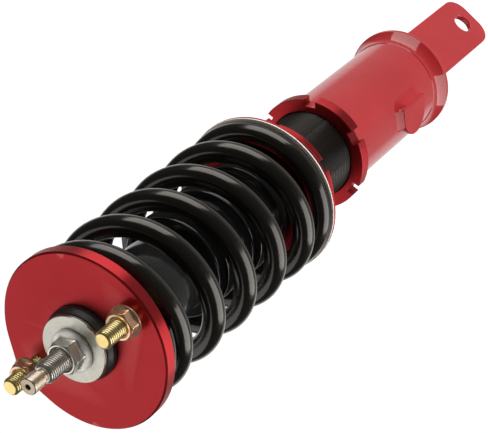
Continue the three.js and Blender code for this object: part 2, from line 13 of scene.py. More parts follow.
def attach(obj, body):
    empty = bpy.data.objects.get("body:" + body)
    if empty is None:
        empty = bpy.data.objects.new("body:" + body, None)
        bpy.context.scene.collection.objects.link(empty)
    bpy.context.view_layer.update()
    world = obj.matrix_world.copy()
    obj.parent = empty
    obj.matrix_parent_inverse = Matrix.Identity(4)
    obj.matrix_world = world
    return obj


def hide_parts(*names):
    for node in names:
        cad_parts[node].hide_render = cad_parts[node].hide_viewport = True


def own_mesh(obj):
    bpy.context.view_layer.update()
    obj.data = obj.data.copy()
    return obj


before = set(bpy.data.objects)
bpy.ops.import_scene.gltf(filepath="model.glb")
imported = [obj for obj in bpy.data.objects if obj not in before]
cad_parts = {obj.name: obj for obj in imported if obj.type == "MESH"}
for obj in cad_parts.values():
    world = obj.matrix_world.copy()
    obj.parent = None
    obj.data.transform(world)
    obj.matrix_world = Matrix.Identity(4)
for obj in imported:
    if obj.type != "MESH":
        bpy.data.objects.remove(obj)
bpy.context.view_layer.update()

MM = 0.001
OFFSET = np.array((-2.4, 0.0, 4.0))
TURN = 2 * math.pi

# ------------------------------------------------------------------ sizes, in millimetres

# Bottoms, tops and heights are along Z. A name that ends in _R is a radius, one in _X lies along the
# tab's own X, and a pitch is the height of one turn. Angles are in degrees, from X.

# Pieces that touch stand this far apart, as their CAD solids do.
GAP = 0.3

FOOT_BOTTOM = 97.0
FOOT_RIM_TOP = 100.2
FOOT_TOP = 110.7
FOOT_RIM_R = 34.9
FOOT_BORE_R = 28.5
TUBE_R = 30.6
TUBE_TOP = 213.3
THREAD_BORE_R = 27.9

BLADE_MIDDLE = 2.4
BLADE_HALF_WIDTH = 19.0
BLADE_BOTTOM = -20.2
BLADE_TOP = 108.0
BLADE_THICKNESS = 4.0
BLADE_CORNER_R = 12.5
BOLT_HOLE_HEIGHT = -4.0
BOLT_HOLE_R = 6.7

TAB_ANGLE = -138.0
TAB_HEIGHT = 144.5
TAB_R = 14.5
TAB_THICKNESS = 3.0
TAB_ROOT_X = 8.0
TAB_END_X = 1.0
WELD_FACE_R = TUBE_R + 3.1
WELD_LEFT_X = -9.0
WELD_RIGHT_X = 14.5
WELD_RAMP = 7.0
BLADE_WELD_R = 1.4
BLADE_WELD_HEIGHT = 99.6

RING_BOTTOM = 213.6
RING_TOP = 221.6
RING_R = 36.0
NOTCH_ANGLE = -112.0
NOTCHES = 6

BODY_R = 27.6
BODY_PITCH = 2.0
BODY_BORE_R = 23.0
BODY_BOTTOM = 131.0
BODY_TOP = 309.0

PERCH_BOTTOM = 262.0
PERCH_SEAT = 281.4
PERCH_FOOT_R = 38.2
PERCH_RIM_R = 48.8
HUB_R = 34.6
HUB_TOP = 301.0

SPRING_BOTTOM = 283.0
SPRING_TOP = 451.5
WIRE_R = 6.25
SPRING_MEAN_R = 41.75
SPRING_PITCH = 32.3
END_PITCH = 4.0
END_TURNS = 0.65
GROUND_DEPTH = 4.5
SPRING_TOP_ANGLE = -125.0

BOOT_BOTTOM = 302.5
BOOT_SLEEVE_BOTTOM = 381.0
BOOT_SLEEVE_R = 24.0
BOOT_LIP_R = 29.9
BOOT_PLEAT_R = 31.0
BOOT_VALLEY_R = 27.0
BOOT_WALL = 2.0
BOOT_GRIP_R = BODY_R + GAP
PLEATS = 8

PLATE_BOTTOM = 451.8
PLATE_TOP = 460.2
PLATE_R = 50.5
PLATE_BORE_R = 14.3
STUD_CIRCLE_R = 38.5
FRONT_STUD_ANGLE = -105.0
REAR_STUD_ANGLE = 75.0
STUD_R = 5.0
STUD_PITCH = 1.5
STUD_TIP = 485.0
STUD_HEAD_R = 7.5
STUD_HEAD_HEIGHT = 3.0
FRONT_NUT_BOTTOM = 464.0
REAR_NUT_BOTTOM = 468.2

ROD_R = 7.0
ROD_THREAD_R = 6.0
ROD_PITCH = 1.5
ROD_BORE_R = 2.5
ROD_PISTON_R = 4.5
ROD_BOTTOM = 257.0
PISTON_SEAT = 289.5
ROD_SHOULDER = 440.0
ROD_TOP = 495.0

ADJUSTER_NECK_R = 3.6
ADJUSTER_HEAD_R = 4.8
ADJUSTER_SOCKET_R = 1.4
ADJUSTER_TOP = 506.8

BUSH_R = 20.9
BUSH_HUB_R = 13.9
BUSH_BORE_R = 8.9
BUSH_TOP = PLATE_TOP + 6.0
BUSH_SPLIT = 456.0
WASHER_R = 19.2
WASHER_BORE_R = 6.3
WASHER_BOTTOM = BUSH_TOP + GAP
WASHER_TOP = WASHER_BOTTOM + 2.5
LOWER_WASHER_BOTTOM = ROD_SHOULDER + GAP
LOWER_WASHER_TOP = LOWER_WASHER_BOTTOM + 2.4

# ------------------------------------------------------------------ building meshes


def to_part_frame(points):
    return (np.asarray(points, float) + OFFSET) * MM


def new_piece(name, points, faces, sharp_angle=34.0):
    """A mesh object from points in the strut's frame, smooth except across sharp edges."""
    mesh = bpy.data.meshes.new(name)
    mesh.from_pydata(to_part_frame(points).tolist(), [], faces)
    mesh.validate()
    piece = bpy.data.objects.new(name, mesh)
    bpy.context.scene.collection.objects.link(piece)
    smooth(piece, sharp_angle)
    return piece


def smooth(piece, sharp_angle=34.0):
    piece.data.shade_smooth()
    piece.data.set_sharp_from_angle(angle=math.radians(sharp_angle))


def finish_piece(piece, body, material, nodes=()):
    """Gives a piece its normals, material and body, and hides the CAD nodes that it stands for."""
    weighted = piece.modifiers.new("weighted normals", "WEIGHTED_NORMAL")
    weighted.keep_sharp = True
    weighted.weight = 60
    piece.data.materials.clear()
    piece.data.materials.append(material)
    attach(piece, body)
    if nodes:
        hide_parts(*nodes)
    return piece


def loft(name, loops, ends, sharp_angle=34.0):
    """A skin over closed loops of points. ends is "joined" for a ring, or "flat" for closed caps."""
    loops = np.asarray(loops, float)
    rows, columns = loops.shape[:2]
    faces = []
    last_row = rows if ends == "joined" else rows - 1
    for row in range(last_row):
        here = row * columns
        above = ((row + 1) % rows) * columns
        for column in range(columns):
            after = (column + 1) % columns
            faces.append((here + column, here + after, above + after, above + column))
    if ends == "flat":
        faces.append(tuple(reversed(range(columns))))
        faces.append(tuple(range((rows - 1) * columns, rows * columns)))
    return new_piece(name, loops.reshape(-1, 3), faces, sharp_angle)


def rounded(corners, closed=True, steps=4):
    """An outline with each corner (x, y, radius) turned into a short curve of that radius."""
    result = []
    count = len(corners)
    for index, corner in enumerate(corners):
        here = Vector(corner[:2])
        radius = corner[2] if len(corner) > 2 else 0
        is_end = not closed and index in (0, count - 1)
        if radius == 0 or is_end:
            result.append(tuple(here))
            continue
        to_before = Vector(corners[index - 1][:2]) - here
        to_after = Vector(corners[(index + 1) % count][:2]) - here
        reach = radius / math.tan(to_before.angle(to_after) / 2)
        reach = min(reach, 0.48 * to_before.length, 0.48 * to_after.length)
        start = here + to_before.normalized() * reach
        end = here + to_after.normalized() * reach
        for step in range(steps + 1):
            share = step / steps
            result.append(tuple(start.lerp(here, share).lerp(here.lerp(end, share), share)))
    return result


def around(sides):
    return np.arange(sides) * TURN / sides


def ring_loop(radii, height, sides, centre=(0.0, 0.0)):
    """One loop round an axis. radii is a number or one number for each side."""
    angles = around(sides)
    loop = np.empty((sides, 3))
    loop[:, 0] = centre[0] + radii * np.cos(angles)
    loop[:, 1] = centre[1] + radii * np.sin(angles)
    loop[:, 2] = height
    return loop


def turned(name, outline, sides=96, centre=(0.0, 0.0), ends="joined", steps=4):
    """A piece turned about the strut axis, or about centre, from an outline of corners."""
    points = rounded(outline, closed=ends == "joined", steps=steps)
    loops = [ring_loop(radius, height, sides, centre) for radius, height in points]
    return loft(name, loops, ends)


def thread_loops(radius, bottom, top, pitch, depth, sides, centre=(0.0, 0.0), rows=8, tip=0.0):
    """Loops of a right-hand screw thread. Over the last tip millimetres the crests taper off."""
    loops = []
    angles = around(sides)
    for height in np.arange(bottom, top + 1e-6, pitch / rows):
        phase = (height / pitch - angles / TURN) % 1.0
        ridge = 1.0 - np.abs(2.0 * phase - 1.0)
        groove = np.clip((ridge - 0.12) / 0.76, 0.0, 1.0)
        limit = radius - max(0.0, height - (top - tip)) if tip else radius
        radii = np.minimum(radius - depth * groove, limit)
        loops.append(ring_loop(radii, height, sides, centre))
    return loops


def plain_loops(outline, sides, centre=(0.0, 0.0)):
    return [ring_loop(radius, height, sides, centre) for radius, height in outline]


def cut(piece, cutters):
    """Cuts the cutters out of a piece and removes them."""
    for cutter in cutters:
        modifier = piece.modifiers.new("cut", "BOOLEAN")
        modifier.operation = "DIFFERENCE"
        modifier.solver = "EXACT"
        modifier.object = cutter
    settle(piece)
    for cutter in cutters:
        bpy.data.objects.remove(cutter)
    return piece


def settle(piece):
    """Turns a piece's modifiers into plain mesh."""
    bpy.context.view_layer.update()
    evaluated = piece.evaluated_get(bpy.context.evaluated_depsgraph_get())
    mesh = bpy.data.meshes.new_from_object(evaluated)
    piece.modifiers.clear()
    piece.data = mesh
    smooth(piece)


def bevel(piece, width, limit=40.0):
    """Rounds the edges that are sharper than limit degrees."""
    modifier = piece.modifiers.new("bevel", "BEVEL")
    modifier.width = width * MM
    modifier.segments = 2
    modifier.limit_method = "ANGLE"
    modifier.angle_limit = math.radians(limit)
    modifier.use_clamp_overlap = True
    settle(piece)
    return piece


def block(width, depth, height, centre, angle):
    """A box cutter, moved out along X by centre[0] and then turned about the strut axis."""
    corners = []
    for z in (-height / 2, height / 2):
        for x, y in ((-1, -1), (1, -1), (1, 1), (-1, 1)):
            corners.append((centre[0] + x * width / 2, centre[1] + y * depth / 2, centre[2] + z))
    turn = np.array(Matrix.Rotation(math.radians(angle), 3, "Z"))
    faces = [(3, 2, 1, 0), (4, 5, 6, 7), (0, 1, 5, 4), (1, 2, 6, 5), (2, 3, 7, 6), (3, 0, 4, 7)]
    return new_piece("cutter", np.array(corners) @ turn.T, faces)


def spanner_notches(outer_r, bottom, top, width, depth):
    """Cutters for the notches round a ring's rim, which a C spanner takes hold of."""
    middle = (bottom + top) / 2
    height = top - bottom + 2
    step = 360 / NOTCHES
    return [
        block(2 * depth, width, height, (outer_r, 0.0, middle), NOTCH_ANGLE + step * index)
        for index in range(NOTCHES)
    ]


def rectangle_loop(left, right, bottom, top, low_corner, high_corner, inset):
    """A rounded rectangle, anticlockwise, moved inwards by inset, as (x, y) points."""
    loop = []
    corners = (
        (right, bottom, low_corner, 270),
        (right, top, high_corner, 0),
        (left, top, high_corner, 90),
        (left, bottom, low_corner, 180),
    )
    for x, y, radius, start in corners:
        to_middle_x = -1 if x == right else 1
        to_middle_y = 1 if y == bottom else -1
        for step in range(13):
            angle = math.radians(start + 90 * step / 12)
            reach = radius - inset
            loop.append(
                (
                    x + to_middle_x * radius + reach * math.cos(angle),
                    y + to_middle_y * radius + reach * math.sin(angle),
                )
            )
    return np.array(loop)


def edge_profile(thickness, edge_r, steps=4):
    """(inset, depth) pairs down the rounded edge of a flat plate."""
    profile = []
    for step in range(steps + 1):
        angle = 0.5 * math.pi * step / steps
        inset = edge_r * (1 - math.sin(angle))
        depth = edge_r * (1 - math.cos(angle))
        profile.append((inset, depth))
    mirrored = [(inset, thickness - depth) for inset, depth in reversed(profile)]
    return profile + mirrored


# ------------------------------------------------------------------ materials


class Shader:
    """A material's node tree, with short calls for the nodes that are used here."""

    def __init__(self, name):
        self.material = bpy.data.materials.new(name)
        self.material.use_nodes = True
        self.tree = self.material.node_tree
        self.tree.nodes.clear()
        self.surface = self.tree.nodes.new("ShaderNodeBsdfPrincipled")
        output = self.tree.nodes.new("ShaderNodeOutputMaterial")
        self.tree.links.new(self.surface.outputs["BSDF"], output.inputs["Surface"])
        self.place = self.tree.nodes.new("ShaderNodeTexCoord").outputs["Object"]

    def put(self, socket, value):
        if isinstance(value, bpy.types.NodeSocket):
            self.tree.links.new(value, socket)
        elif isinstance(value, tuple) and len(value) == 3 and socket.type == "RGBA":
            socket.default_value = (*value, 1.0)
        else:
            socket.default_value = value

    def set(self, **values):
        for key, value in values.items():
            self.put(self.surface.inputs[key.replace("_", " ").title()], value)

    def noise(self, scale, detail=3.0, roughness=0.55, vector=None):
        node = self.tree.nodes.new("ShaderNodeTexNoise")
        node.inputs["Scale"].default_value = scale
        node.inputs["Detail"].default_value = detail
        node.inputs["Roughness"].default_value = roughness
        self.put(node.inputs["Vector"], vector or self.place)
        return node.outputs["Fac"]

    def from_axis(self):
        """Distance from the strut's axis, in metres."""
        shift = self.tree.nodes.new("ShaderNodeVectorMath")
        shift.operation = "MULTIPLY_ADD"
        shift.inputs[1].default_value = (1.0, 1.0, 0.0)
        shift.inputs[2].default_value = (-OFFSET[0] * MM, 0.0, 0.0)
        self.put(shift.inputs[0], self.place)
        length = self.tree.nodes.new("ShaderNodeVectorMath")
        length.operation = "LENGTH"
        self.put(length.inputs[0], shift.outputs["Vector"])
        return length.outputs["Value"]

    def turning(self, scale, detail=2.0):
        """Noise that only changes with the distance from the axis and the height."""
        split = self.tree.nodes.new("ShaderNodeSeparateXYZ")
        self.put(split.inputs[0], self.place)
        join = self.tree.nodes.new("ShaderNodeCombineXYZ")
        self.put(join.inputs["X"], self.from_axis())
        self.put(join.inputs["Y"], split.outputs["Z"])
        return self.noise(scale, detail, 0.6, join.outputs["Vector"])

    def range(self, source, low, high, to_low, to_high):
        node = self.tree.nodes.new("ShaderNodeMapRange")
        self.put(node.inputs["Value"], source)
        for key, value in zip(("From Min", "From Max", "To Min", "To Max"), (low, high, to_low, to_high)):
            node.inputs[key].default_value = value
        return node.outputs["Result"]

    def mix(self, share, first, second):
        node = self.tree.nodes.new("ShaderNodeMix")
        node.data_type = "RGBA"
        self.put(node.inputs[0], share)
        self.put(node.inputs[6], first)
        self.put(node.inputs[7], second)
        return node.outputs[2]

    def maths(self, operation, first, second=0.0):
        node = self.tree.nodes.new("ShaderNodeMath")
        node.operation = operation
        self.put(node.inputs[0], first)
        self.put(node.inputs[1], second)
        return node.outputs[0]

    def upright(self):
        """1 on walls that stand along the strut's axis, and 0 on faces across it."""
        split = self.tree.nodes.new("ShaderNodeSeparateXYZ")
        self.put(split.inputs[0], self.tree.nodes.new("ShaderNodeNewGeometry").outputs["Normal"])
        return self.range(self.maths("ABSOLUTE", split.outputs["Z"]), 0.3, 0.8, 1.0, 0.0)

    def turned_grain(self, amount):
        """Draws reflections out across fine grooves that run round the strut's axis."""
        round_axis = self.tree.nodes.new("ShaderNodeTangent")
        round_axis.direction_type = "RADIAL"
        round_axis.axis = "Z"
        self.set(anisotropic=amount, anisotropic_rotation=0.25, tangent=round_axis.outputs["Tangent"])

    def edges(self, low=0.52, high=0.6):
        """Near 1 on convex edges, 0 elsewhere; the materials here paint these edges lighter."""
        pointiness = self.tree.nodes.new("ShaderNodeNewGeometry").outputs["Pointiness"]
        return self.range(pointiness, low, high, 0.0, 1.0)

    def grooves(self, low=0.4, high=0.495):
        """Near 1 in the bottoms of grooves, 0 elsewhere: the mask for painted shade in grooves."""
        pointiness = self.tree.nodes.new("ShaderNodeNewGeometry").outputs["Pointiness"]
        return self.range(pointiness, low, high, 1.0, 0.0)

    def bump(self, height, distance, strength=1.0, normal=None):
        node = self.tree.nodes.new("ShaderNodeBump")
        node.inputs["Distance"].default_value = distance
        node.inputs["Strength"].default_value = strength
        self.put(node.inputs["Height"], height)
        if normal:
            self.put(node.inputs["Normal"], normal)
        return node.outputs["Normal"]


def red_paint(name, gloss, waves):
    """Sprayed paint. gloss is the weight of its clear coat, and waves how uneven it is."""
    s = Shader(name)
    cloud = s.noise(18.0, 3.0)
    fleck = s.noise(900.0, 2.0)
    colour = s.mix(s.range(cloud, 0.3, 0.7, 0.0, 1.0), (0.41, 0.014, 0.02), (0.48, 0.024, 0.028))
    dust = s.range(fleck, 0.66, 0.74, 0.0, 0.25)
    s.set(base_color=s.mix(dust, colour, (0.62, 0.16, 0.15)))
    s.set(roughness=s.range(s.noise(220.0, 4.0), 0.3, 0.7, 0.4, 0.55))
    s.surface.inputs["Specular IOR Level"].default_value = 0.1
    s.set(coat_weight=gloss, coat_roughness=s.range(s.noise(90.0, 3.0), 0.3, 0.7, 0.015, 0.05))
    s.set(normal=s.bump(s.noise(420.0, 2.0), 0.00012, waves))
    return s.material


def red_anodised(name, grain):
    """Anodised aluminium. grain is how deep its turned lines are."""
    s = Shader(name)
    cloud = s.noise(14.0, 3.0)
    colour = s.mix(s.range(cloud, 0.3, 0.7, 0.0, 1.0), (0.38, 0.016, 0.022), (0.45, 0.025, 0.031))
    s.set(base_color=s.mix(s.range(s.edges(), 0.0, 1.0, 0.0, 0.35), colour, (0.75, 0.2, 0.2)))
    s.set(metallic=0.85)
    s.turned_grain(s.range(s.upright(), 0.0, 1.0, 0.0, 0.85))
    lines = s.turning(2600.0, 3.0)
    pits = s.noise(2200.0, 2.0)
    s.set(roughness=s.range(s.maths("ADD", lines, pits), 0.7, 1.3, 0.28, 0.42))
    s.set(normal=s.bump(lines, 0.00003, grain, s.bump(pits, 0.00004, 0.3)))
    return s.material


def black_coat():
    s = Shader("gloss black coat")
    peel = s.noise(520.0, 2.0)
    lint = s.range(s.noise(1500.0, 3.0), 0.68, 0.76, 0.0, 0.12)
    s.set(base_color=s.mix(lint, (0.0105, 0.0092, 0.0075), (0.1, 0.095, 0.085)))
    s.set(roughness=s.range(s.noise(160.0, 4.0), 0.3, 0.7, 0.14, 0.24))
    s.set(coat_weight=0.25, coat_roughness=0.1, coat_tint=(1.0, 0.93, 0.82))
    s.set(normal=s.bump(peel, 0.00008, 0.2))
    return s.material


def rubber(name, shade, low, high, grain):
    """Black rubber with a faint bloom. Its roughness lies between low and high."""
    s = Shader(name)
    bloom = s.range(s.noise(60.0, 5.0), 0.45, 0.75, 0.0, 0.12)
    s.set(base_color=s.mix(bloom, (shade, shade, shade), (2.2 * shade, 2.2 * shade, 2.1 * shade)))
    s.set(roughness=s.range(s.noise(300.0, 4.0), 0.3, 0.7, low, high))
    s.set(normal=s.bump(s.noise(1800.0, 3.0), 0.00006, grain))
    return s.material


def phosphated_steel():
    s = Shader("phosphated steel")
    crystals = s.noise(1400.0, 3.0)
    oil = s.range(s.noise(45.0, 3.0), 0.4, 0.65, 0.0, 1.0)
    colour = s.mix(crystals, (0.006, 0.0052, 0.0045), (0.016, 0.0135, 0.0115))
    s.set(base_color=s.mix(s.range(s.edges(), 0.0, 1.0, 0.0, 0.4), colour, (0.09, 0.07, 0.055)))
    s.set(metallic=0.2, roughness=s.range(oil, 0.0, 1.0, 0.42, 0.28))
    s.surface.inputs["Specular IOR Level"].default_value = 0.38
    s.set(normal=s.bump(crystals, 0.00004, 0.35))
    return s.material


def plated_metal(name, first, second, third, low, high, brushing, stretch=0.0):
    """Plated or ground metal whose tint drifts between three colours.

    Its roughness lies between low and high, brushing is how deep its turned lines are, and stretch
    how far they draw reflections out.
    """
    s = Shader(name)
    if stretch:
        s.turned_grain(stretch)
    drift = s.range(s.noise(70.0, 3.0), 0.35, 0.65, 0.0, 1.0)
    stain = s.range(s.noise(240.0, 4.0), 0.5, 0.72, 0.0, 0.6)
    colour = s.mix(stain, s.mix(drift, first, second), third)
    colour = s.mix(s.range(s.edges(), 0.0, 1.0, 0.0, 0.5), colour, (0.95, 0.93, 0.88))
    # Painted shade: the bottoms of grooves, such as thread roots, are painted dark brown.
    s.set(base_color=s.mix(s.range(s.grooves(), 0.0, 1.0, 0.0, 0.55), colour, (0.08, 0.06, 0.04)))
    lines = s.turning(3200.0, 2.0)
    grain = s.noise(1900.0, 3.0)
    s.set(metallic=1.0, roughness=s.range(s.maths("ADD", lines, grain), 0.7, 1.3, low, high))
    s.set(normal=s.bump(lines, 0.00003, brushing, s.bump(grain, 0.00003, 0.3)))
    return s.material


def nylon():
    s = Shader("natural nylon")
    cloud = s.noise(40.0, 3.0)
    s.set(base_color=s.mix(cloud, (0.95, 0.88, 0.8), (1.0, 0.95, 0.89)))
    s.set(roughness=s.range(s.noise(500.0, 3.0), 0.3, 0.7, 0.35, 0.5), subsurface_weight=0.15)
    s.set(subsurface_radius=(0.001, 0.0008, 0.0006), normal=s.bump(s.noise(1500.0), 0.00004, 0.3))
    return s.material


def foam():
    s = Shader("yellow foam")
    cells = s.noise(1100.0, 4.0)
    s.set(base_color=s.mix(cells, (0.5, 0.38, 0.12), (0.75, 0.62, 0.28)), roughness=0.9)
    s.set(normal=s.bump(cells, 0.0002, 0.8))
    return s.material


PAINT = red_paint("gloss red paint", 1.0, 0.12)
TAB_PAINT = red_paint("red paint on the tab", 0.5, 0.12)
WELD_PAINT = red_paint("red paint over welds", 0.1, 0.3)
ANODISED_TURNED = red_anodised("red anodised, turned", 0.35)
ANODISED_PLATE = red_anodised("red anodised plate", 0.06)
BLACK_COAT = black_coat()
BOOT_RUBBER = rubber("boot rubber", 0.012, 0.07, 0.15, 0.1)
BUSH_RUBBER = rubber("bush rubber", 0.02, 0.34, 0.5, 0.5)
PHOSPHATED = phosphated_steel()
BRIGHT_ZINC = plated_metal(
    "bright zinc", (0.92, 0.91, 0.86), (0.86, 0.86, 0.82), (0.72, 0.7, 0.64), 0.28, 0.42, 0.4
)
# Bright zinc painted darker for the clamp washer: painted shade that tones down the top light on its
# face, while the rod nut keeps the brighter copy.
SHADED_WASHER_ZINC = plated_metal(
    "bright zinc washer", (0.64, 0.63, 0.57), (0.58, 0.58, 0.53), (0.48, 0.46, 0.41), 0.26, 0.4, 0.9, 0.7
)
YELLOW_ZINC = plated_metal(
    "yellow zinc", (1.0, 0.8, 0.32), (1.0, 0.85, 0.36), (0.95, 0.7, 0.28), 0.26, 0.4, 0.3
)
PINK_ZINC = plated_metal(
    "yellow zinc, coppery", (1.0, 0.6, 0.38), (0.96, 0.68, 0.42), (0.7, 0.4, 0.22), 0.26, 0.4, 0.3
)
ROD_STEEL = plated_metal(
    "ground steel", (0.78, 0.74, 0.68), (0.7, 0.67, 0.62), (0.5, 0.46, 0.42), 0.28, 0.42, 0.4
)
CHAMPAGNE = plated_metal(
    "turned nickel brass", (0.6, 0.5, 0.38), (0.54, 0.47, 0.38), (0.38, 0.3, 0.22), 0.3, 0.44, 0.4
)
ALUMINIUM = plated_metal(
    "machined aluminium", (0.75, 0.75, 0.76), (0.68, 0.69, 0.7), (0.5, 0.5, 0.5), 0.26, 0.4, 0.5
)
BRONZE = plated_metal(
    "bronze liner", (0.5, 0.36, 0.17), (0.44, 0.33, 0.18), (0.25, 0.17, 0.08), 0.3, 0.48, 0.4
)
NYLON = nylon()
FOAM = foam()

# ------------------------------------------------------------------ lower bracket


def blade():
    loops = []
    for inset, depth in edge_profile(BLADE_THICKNESS, 0.8):
        outline = rectangle_loop(
            BLADE_MIDDLE - BLADE_HALF_WIDTH,
            BLADE_MIDDLE + BLADE_HALF_WIDTH,
            BLADE_BOTTOM,
            BLADE_TOP,
            BLADE_CORNER_R,
            1.0,
            inset,
        )
        loop = np.empty((len(outline), 3))
        loop[:, 0] = outline[:, 0]
        loop[:, 1] = depth - BLADE_THICKNESS / 2
        loop[:, 2] = outline[:, 1]
        loops.append(loop)
    piece = loft("blade", loops, "flat")
    cut(piece, [hole_cutter(BOLT_HOLE_R, BLADE_THICKNESS, BLADE_MIDDLE, BOLT_HOLE_HEIGHT)])
    return finish_piece(piece, "lower_bracket", PAINT, ["lower_blade"])


def hole_cutter(radius, thickness, x, z):
    """A cutter along Y whose ends flare, so that the hole's edges come out rounded."""
    half = thickness / 2
    outline = [
        (radius + 1.2, -half - 0.6),
        (radius + 0.5, -half),
        (radius + 0.15, -half + 0.3),
        (radius, -half + 0.8),
        (radius, half - 0.8),
        (radius + 0.15, half - 0.3),
        (radius + 0.5, half),
        (radius + 1.2, half + 0.6),
    ]
    loops = []
    for ring_r, along in outline:
        angles = around(64)
        loop = np.empty((64, 3))
        loop[:, 0] = x + ring_r * np.cos(angles)
        loop[:, 1] = along
        loop[:, 2] = z - ring_r * np.sin(angles)
        loops.append(loop)
    return loft("cutter", loops, "flat")


def bracket_shell():
    """The tube and its flared foot, as one welded and painted shell."""
    neck_r = TUBE_R + 0.4
    outline = [
        (FOOT_BORE_R, FOOT_BOTTOM, 0.4),
        (FOOT_RIM_R, FOOT_BOTTOM, 0.7),
        (FOOT_RIM_R, FOOT_RIM_TOP, 0.7),
    ]
    steps = 10
    for step in range(1, steps):
        along = step / steps
        swell = (1 - along) ** 2
        height = FOOT_RIM_TOP + (FOOT_TOP - FOOT_RIM_TOP) * along
        outline.append((neck_r + (FOOT_RIM_R - neck_r) * swell, height))
    outline += [
        (neck_r, FOOT_TOP - 0.3, 0.2),
        (TUBE_R, FOOT_TOP + 0.3, 0.3),
        (TUBE_R, TUBE_TOP, 0.7),
        (THREAD_BORE_R, TUBE_TOP, 0.5),
        (THREAD_BORE_R, FOOT_TOP, 0.3),
        (FOOT_BORE_R, FOOT_TOP - 0.8, 0.3),
    ]
    piece = turned("bracket_shell", outline, sides=128)
    nodes = ["bracket_tube", "bracket_foot"]
    return finish_piece(piece, "lower_bracket", PAINT, nodes)


def hose_tab():
    """A round-ended plate on a tangent of the tube. Its own X runs along the tangent."""
    turn = np.array(Matrix.Rotation(math.radians(TAB_ANGLE + 90), 3, "Z"))
    loops = []
    for inset, depth in edge_profile(TAB_THICKNESS, 0.9):
        outline = tab_outline(inset)
        loop = np.empty((len(outline), 3))
        loop[:, 0] = outline[:, 0]
        loop[:, 1] = -(TUBE_R + GAP) - TAB_THICKNESS + depth
        loop[:, 2] = TAB_HEIGHT + outline[:, 1]
        loops.append(loop @ turn.T)
    piece = loft("tab", loops, "flat")
    return finish_piece(piece, "lower_bracket", TAB_PAINT, ["hose_tab"])


def tab_outline(inset):
    """Straight at the root, and a half circle about TAB_END_X at the other end."""
    reach = TAB_R - inset
    root = TAB_ROOT_X - inset
    points = [(root, -reach), (root, reach)]
    for step in range(33):
        angle = math.radians(90 + 180 * step / 32)
        points.append((TAB_END_X + reach * math.cos(angle), reach * math.sin(angle)))
    return np.array(points)


def weld_bead(name, path, radius):
    """A rippled bead along a path of points."""
    path = np.asarray(path, float)
    loops = []
    for index, point in enumerate(path):
        before = path[max(index - 1, 0)]
        after = path[min(index + 1, len(path) - 1)]
        along = Vector(after - before).normalized()
        side = along.orthogonal().normalized()
        other = along.cross(side)
        taper = min(1.0, 0.3 + 0.35 * min(index, len(path) - 1 - index))
        ripple = radius * taper * (1 + 0.09 * math.sin(2.4 * index))
        loop = []
        for angle in around(12):
            outward = math.cos(angle) * np.array(side) + math.sin(angle) * np.array(other)
            loop.append(point + ripple * outward)
        loops.append(loop)
    piece = loft(name, loops, "flat", 60)
    return finish_piece(piece, "lower_bracket", WELD_PAINT)


def tab_weld_share(x, z):
    """1 under the tab, falling to 0 past its root and its upper end, and at once past its lower end."""
    fade = WELD_RAMP if z > 0 else 0.5
    under_tab_r = TAB_R - 0.7
    past_root = max(0.0, x - TAB_ROOT_X) / (WELD_RIGHT_X - TAB_ROOT_X)
    past_side = 0.0
    if x > TAB_ROOT_X:
        past_end = max(0.0, abs(z) - (TAB_R - 5.0)) / (fade + 5.0)
    elif x > TAB_END_X:
        past_end = max(0.0, abs(z) - under_tab_r) / fade
    else:
        past_end = max(0.0, math.hypot(x - TAB_END_X, z) - under_tab_r) / fade
        if past_end > 0:
            past_side = max(0.0, WELD_LEFT_X + 4.0 - x) / 4.0
    return max(0.0, 1.0 - math.hypot(past_root, past_end, past_side))


def tab_weld():
    """Weld metal that fills the wedge under the tab and runs down to the tube past it.

    It closes inside the wall of the tube, so that none of it shows in the bore.
    """
    turn = np.array(Matrix.Rotation(math.radians(TAB_ANGLE + 90), 3, "Z"))
    inside_wall_r = TUBE_R - 1.4
    loops = []
    for z in np.linspace(-TAB_R, TAB_R + WELD_RAMP - 0.5, 97):
        loop = []
        for x in np.linspace(WELD_LEFT_X, WELD_RIGHT_X, 48):
            on_tube = math.sqrt(TUBE_R ** 2 - x ** 2) - 0.3
            share = tab_weld_share(x, z)
            loop.append((x, -(on_tube + (WELD_FACE_R - on_tube) * share ** 1.5)))
        for x in np.linspace(WELD_RIGHT_X, WELD_LEFT_X, 16):
            loop.append((x, -math.sqrt(inside_wall_r ** 2 - x ** 2)))
        loops.append([(x, y, TAB_HEIGHT + z) for x, y in loop])
    piece = loft("tab_weld", np.array(loops) @ turn.T, "flat", 50)
    return finish_piece(piece, "lower_bracket", TAB_PAINT)


def blade_welds():
    """A bead along each side of the blade, where it meets the foot."""
    for name, y in (("blade_weld_front", -2.2), ("blade_weld_back", 2.2)):
        xs = np.linspace(BLADE_MIDDLE - 18, BLADE_MIDDLE + 18, 60)
        weld_bead(name, [(x, y, BLADE_WELD_HEIGHT) for x in xs], BLADE_WELD_R)


# ------------------------------------------------------------------ rings on the damper body


def lock_ring():
    outline = [
        (THREAD_BORE_R, RING_BOTTOM, 0.4),
        (RING_R, RING_BOTTOM, 0.6),
        (RING_R, RING_TOP, 0.6),
        (THREAD_BORE_R, RING_TOP, 0.6),
    ]
    piece = turned("lock_ring_body", outline, sides=128)
    cut(piece, spanner_notches(RING_R, RING_BOTTOM, RING_TOP, 8.0, 4.3))
    bevel(piece, 0.25)
    return finish_piece(piece, "locking_collar", ANODISED_TURNED, ["lock_ring"])


